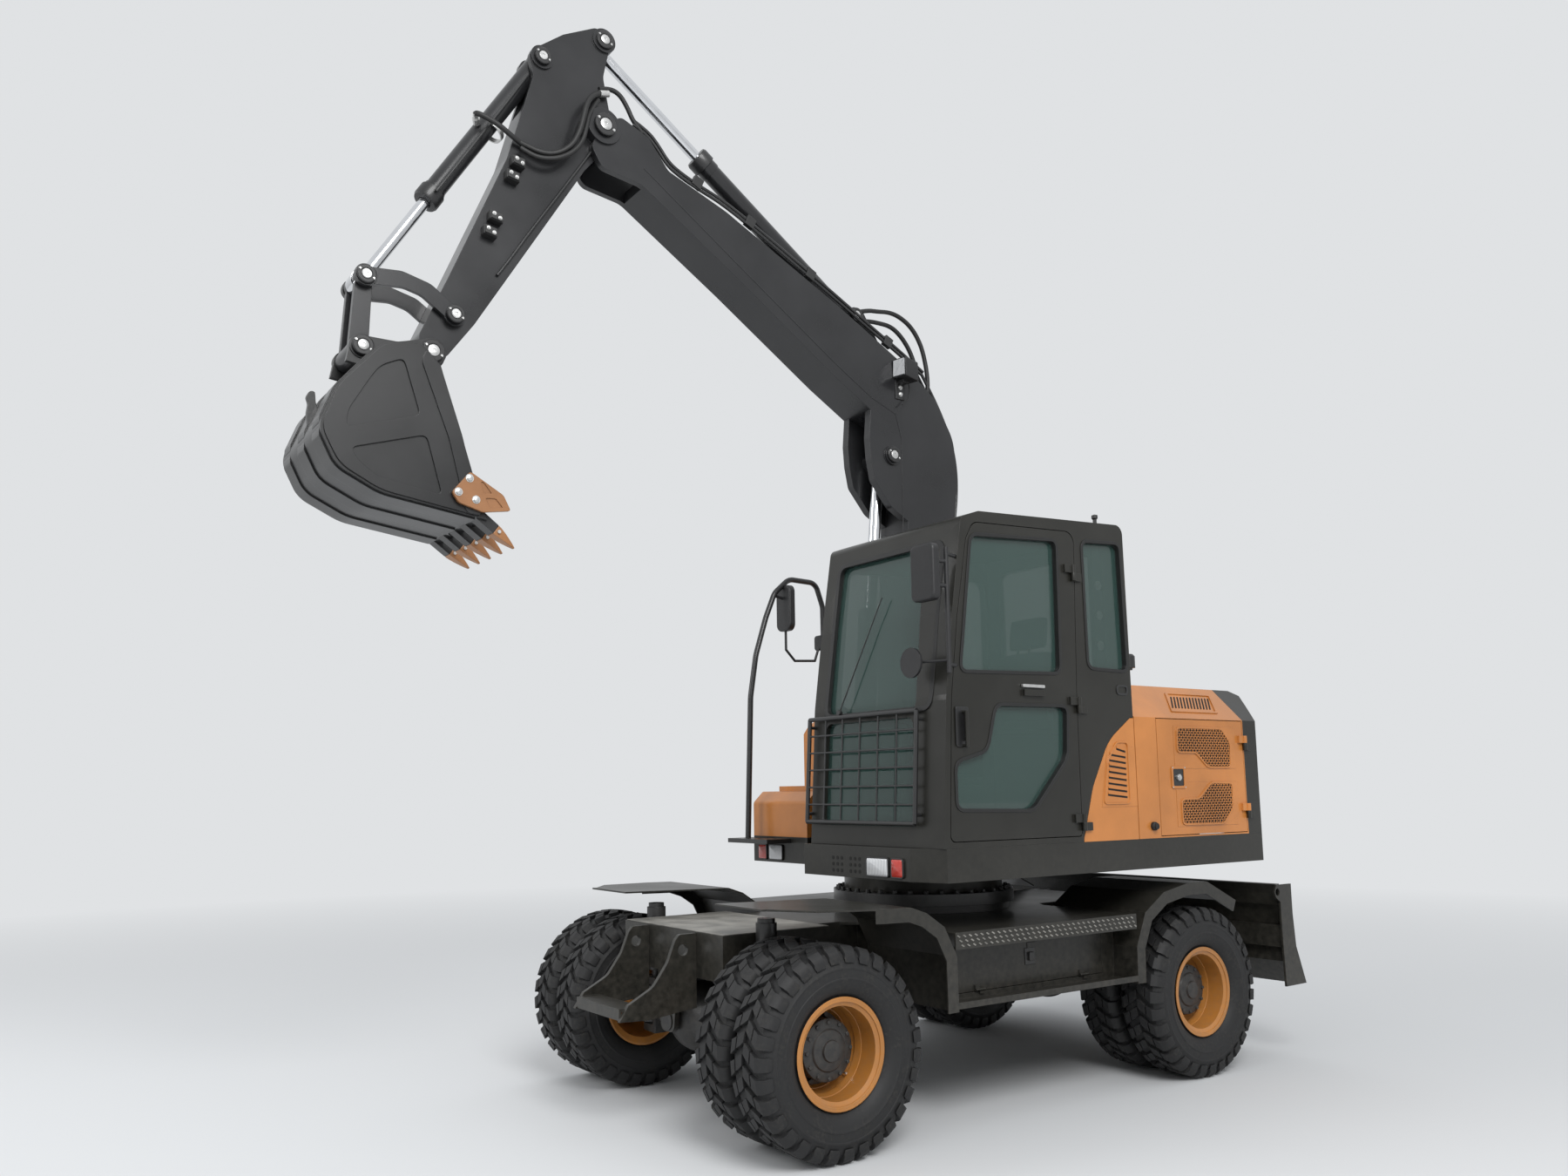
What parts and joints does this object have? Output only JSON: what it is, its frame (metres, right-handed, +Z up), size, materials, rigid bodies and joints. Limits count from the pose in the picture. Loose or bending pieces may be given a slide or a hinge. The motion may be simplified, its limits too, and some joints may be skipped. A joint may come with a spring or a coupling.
{
  "type": "wheeled excavator",
  "caption": "Wheeled excavator with dual tyres, steered front axle, rear blade, slewing house with cab and engine bay, and a one-piece boom with stick and bucket",
  "frame": {"origin": "middle of the machine's box, on the ground", "axes": "+X forward (bucket end), +Y to the operator's left (cab side), +Z up"},
  "size_m": [5.2228, 2.189, 5.336],
  "materials": {
    "dark_paint": "olive-charcoal gloss paint, fine texture",
    "arm_paint": "dark grey satin paint",
    "bucket_paint": "dark grey paint, worn at the lip",
    "orange_paint": "warm orange gloss paint",
    "rim_paint": "amber gloss paint",
    "bronze": "bronze paint on cast steel",
    "black_metal": "black satin paint",
    "chrome": "hard chrome, polished",
    "tyre": "black rubber, matt",
    "glass": "green tinted safety glass",
    "trim": "black grained plastic",
    "seat_fabric": "dark woven cloth",
    "lens": "clear and red lamp lenses",
    "cast": "dark painted casting"
  },
  "bodies": {
    "carrier": {"carrier_frame": "dark_paint", "front_bracket": "dark_paint", "axle_locks": "black_metal", "step_deck_left": "dark_paint", "step_deck_right": "dark_paint", "front_axle": "cast", "rear_axle": "cast", "slew_ring": "black_metal", "drive_line": "cast", "blade_mount": "dark_paint"},
    "knuckle_left": {"knuckle_left": "black_metal"},
    "knuckle_right": {"knuckle_right": "black_metal"},
    "steering_rod": {"steering_rod": "black_metal"},
    "wheel_front_left": {"tyres_front_left": "tyre", "rims_front_left": "rim_paint"},
    "wheel_front_right": {"tyres_front_right": "tyre", "rims_front_right": "rim_paint"},
    "wheel_rear_left": {"tyres_rear_left": "tyre", "rims_rear_left": "rim_paint"},
    "wheel_rear_right": {"tyres_rear_right": "tyre", "rims_rear_right": "rim_paint"},
    "toolbox_door": {"toolbox_door": "dark_paint"},
    "blade_arms": {"blade_arms": "dark_paint"},
    "blade_upper_links": {"blade_upper_links": "dark_paint"},
    "blade": {"blade": "dark_paint"},
    "blade_cylinder_barrel": {"blade_cylinder_barrel": "black_metal"},
    "blade_cylinder_rod": {"blade_cylinder_rod": "chrome"},
    "house": {"house_frame": "dark_paint", "boom_bracket": "dark_paint", "cab_shell": "dark_paint", "cab_glass": "glass", "seat": "seat_fabric", "controls": "trim", "windscreen_guard": "black_metal", "engine_cover": "orange_paint", "quarter_panel": "orange_paint", "counterweight": "dark_paint", "engine": "cast", "right_tank": "orange_paint", "right_box": "orange_paint", "step_and_rail": "black_metal", "mirrors": "trim", "lamps": "lens"},
    "cab_door": {"cab_door": "dark_paint", "cab_door_glass": "glass"},
    "service_door_left": {"service_door_left": "orange_paint"},
    "service_door_right": {"service_door_right": "orange_paint"},
    "box_lid": {"right_box_lid": "orange_paint"},
    "boom": {"boom": "arm_paint"},
    "boom_cylinder_barrel": {"boom_cylinder_barrel": "arm_paint"},
    "boom_cylinder_rod": {"boom_cylinder_rod": "chrome"},
    "stick": {"stick": "arm_paint"},
    "stick_cylinder_barrel": {"stick_cylinder_barrel": "arm_paint"},
    "stick_cylinder_rod": {"stick_cylinder_rod": "chrome"},
    "bucket": {"bucket": "bucket_paint", "bucket_teeth": "bronze"},
    "bucket_cylinder_barrel": {"bucket_cylinder_barrel": "arm_paint"},
    "bucket_cylinder_rod": {"bucket_cylinder_rod": "chrome"},
    "rocker": {"rocker": "arm_paint"},
    "bucket_link": {"bucket_link": "arm_paint"}
  },
  "joints": [
    {"name": "steer_left", "type": "hinge", "parent": "carrier", "child": "knuckle_left", "pos_m": [0.69157, 0.5255, 0.4325], "axis": [0, 0, 1], "range_deg": [-25, 25]},
    {"name": "steer_right", "type": "hinge", "parent": "carrier", "child": "knuckle_right", "pos_m": [0.69157, -0.5345, 0.4325], "axis": [0, 0, 1], "range_deg": [-25, 25]},
    {"name": "steering_rod_slide", "type": "slide", "parent": "carrier", "child": "steering_rod", "axis": [0, -1, 0], "range_m": [-0.08, 0.08]},
    {"name": "spin_front_left", "type": "hinge", "parent": "knuckle_left", "child": "wheel_front_left", "pos_m": [0.69157, 0.813, 0.4325], "axis": [0, 1, 0], "continuous": true},
    {"name": "spin_front_right", "type": "hinge", "parent": "knuckle_right", "child": "wheel_front_right", "pos_m": [0.69157, -0.822, 0.4325], "axis": [0, 1, 0], "continuous": true},
    {"name": "spin_rear_left", "type": "hinge", "parent": "carrier", "child": "wheel_rear_left", "pos_m": [-1.71093, 0.813, 0.4325], "axis": [0, 1, 0], "continuous": true},
    {"name": "spin_rear_right", "type": "hinge", "parent": "carrier", "child": "wheel_rear_right", "pos_m": [-1.71093, -0.822, 0.4325], "axis": [0, 1, 0], "continuous": true},
    {"name": "toolbox_door_hinge", "type": "hinge", "parent": "carrier", "child": "toolbox_door", "pos_m": [-0.71643, 0.8835, 0.575], "axis": [-1, 0, 0], "range_deg": [0, 90]},
    {"name": "blade_lift", "type": "hinge", "parent": "carrier", "child": "blade_arms", "pos_m": [-2.06643, -0.0045, 0.42], "axis": [0, -1, 0], "range_deg": [0, 80]},
    {"name": "blade_upper_link_hinge", "type": "hinge", "parent": "carrier", "child": "blade_upper_links", "pos_m": [-2.06643, -0.0045, 0.59], "axis": [0, -1, 0], "range_deg": [0, 80]},
    {"name": "blade_level", "type": "hinge", "parent": "blade_arms", "child": "blade", "pos_m": [-2.37743, -0.0045, 0.638], "axis": [0, -1, 0], "range_deg": [-80, 0]},
    {"name": "blade_cylinder_hinge", "type": "hinge", "parent": "carrier", "child": "blade_cylinder_barrel", "pos_m": [-1.93143, -0.0045, 0.79], "axis": [0, -1, 0], "range_deg": [-2, 40]},
    {"name": "blade_cylinder_slide", "type": "slide", "parent": "blade_cylinder_barrel", "child": "blade_cylinder_rod", "axis": [-0.8892, 0, -0.4575], "range_m": [-0.01, 0.33]},
    {"name": "slew", "type": "hinge", "parent": "carrier", "child": "house", "pos_m": [-0.71643, -0.0045, 0.965], "axis": [0, 0, 1], "continuous": true},
    {"name": "cab_door_hinge", "type": "hinge", "parent": "house", "child": "cab_door", "pos_m": [-0.80943, 1.0695, 0], "axis": [0, 0, 1], "range_deg": [0, 100]},
    {"name": "service_door_left_hinge", "type": "hinge", "parent": "house", "child": "service_door_left", "pos_m": [-2.15843, 1.0695, 0], "axis": [0, 0, 1], "range_deg": [0, 90]},
    {"name": "service_door_right_hinge", "type": "hinge", "parent": "house", "child": "service_door_right", "pos_m": [-2.15843, -1.0785, 0], "axis": [0, 0, -1], "range_deg": [0, 90]},
    {"name": "box_lid_hinge", "type": "hinge", "parent": "house", "child": "box_lid", "pos_m": [-0.68843, -0.7245, 1.544], "axis": [0, -1, 0], "range_deg": [0, 75]},
    {"name": "boom_lift", "type": "hinge", "parent": "house", "child": "boom", "pos_m": [-0.68643, -0.1245, 1.6], "axis": [0, -1, 0], "range_deg": [-100, 5]},
    {"name": "boom_cylinder_hinge", "type": "hinge", "parent": "house", "child": "boom_cylinder_barrel", "pos_m": [-0.35643, -0.1245, 1.19], "axis": [0, -1, 0], "range_deg": [-96, 6]},
    {"name": "boom_cylinder_slide", "type": "slide", "parent": "boom_cylinder_barrel", "child": "boom_cylinder_rod", "axis": [-0.1017, 0, 0.9948], "range_m": [-0.83, 0.05]},
    {"name": "stick_swing", "type": "hinge", "parent": "boom", "child": "stick", "pos_m": [1.25057, -0.1245, 4.79], "axis": [0, 1, 0], "range_deg": [-88, 22]},
    {"name": "stick_cylinder_hinge", "type": "hinge", "parent": "boom", "child": "stick_cylinder_barrel", "pos_m": [-0.36843, -0.1245, 4.187], "axis": [0, 1, 0], "range_deg": [-3, 3]},
    {"name": "stick_cylinder_slide", "type": "slide", "parent": "stick_cylinder_barrel", "child": "stick_cylinder_rod", "axis": [0.827, 0, 0.5622], "range_m": [-0.65, 0.17]},
    {"name": "bucket_curl", "type": "hinge", "parent": "stick", "child": "bucket", "pos_m": [2.09957, -0.1245, 3.451], "axis": [0, 1, 0], "range_deg": [-80, 85]},
    {"name": "rocker_hinge", "type": "hinge", "parent": "stick", "child": "rocker", "pos_m": [1.98957, -0.1245, 3.655], "axis": [0, 1, 0], "range_deg": [-62, 65]},
    {"name": "link_hinge", "type": "hinge", "parent": "bucket", "child": "bucket_link", "pos_m": [2.40557, -0.1245, 3.414], "axis": [0, 1, 0], "range_deg": [-58, 55]},
    {"name": "bucket_cylinder_hinge", "type": "hinge", "parent": "stick", "child": "bucket_cylinder_barrel", "pos_m": [1.56657, -0.1245, 5.065], "axis": [0, 1, 0], "range_deg": [-8, 8]},
    {"name": "bucket_cylinder_slide", "type": "slide", "parent": "bucket_cylinder_barrel", "child": "bucket_cylinder_rod", "axis": [0.5298, 0, -0.8481], "range_m": [-0.36, 0.38]}
  ],
  "couplings": [
    {"joint": "steer_right", "follows": "steer_left", "ratio": 1},
    {"joint": "steering_rod_slide", "follows": "steer_left", "m_per_rad": 0.174},
    {"joint": "blade_upper_link_hinge", "follows": "blade_lift", "ratio": 1},
    {"joint": "blade_level", "follows": "blade_lift", "ratio": -1},
    {"joint": "blade_cylinder_hinge", "follows": "blade_lift", "ratio": 0.4164},
    {"joint": "blade_cylinder_slide", "follows": "blade_lift", "m_per_rad": 0.2293},
    {"joint": "boom_cylinder_hinge", "follows": "boom_lift", "ratio": 0.9404},
    {"joint": "boom_cylinder_slide", "follows": "boom_lift", "m_per_rad": 0.4728},
    {"joint": "stick_cylinder_hinge", "follows": "stick_swing", "ratio": -0.0083},
    {"joint": "stick_cylinder_slide", "follows": "stick_swing", "m_per_rad": 0.3974},
    {"joint": "rocker_hinge", "follows": "bucket_curl", "ratio": 0.7402},
    {"joint": "link_hinge", "follows": "bucket_curl", "ratio": -0.6447},
    {"joint": "bucket_cylinder_hinge", "follows": "bucket_curl", "ratio": 0.0604},
    {"joint": "bucket_cylinder_slide", "follows": "bucket_curl", "m_per_rad": 0.2527}
  ]
}
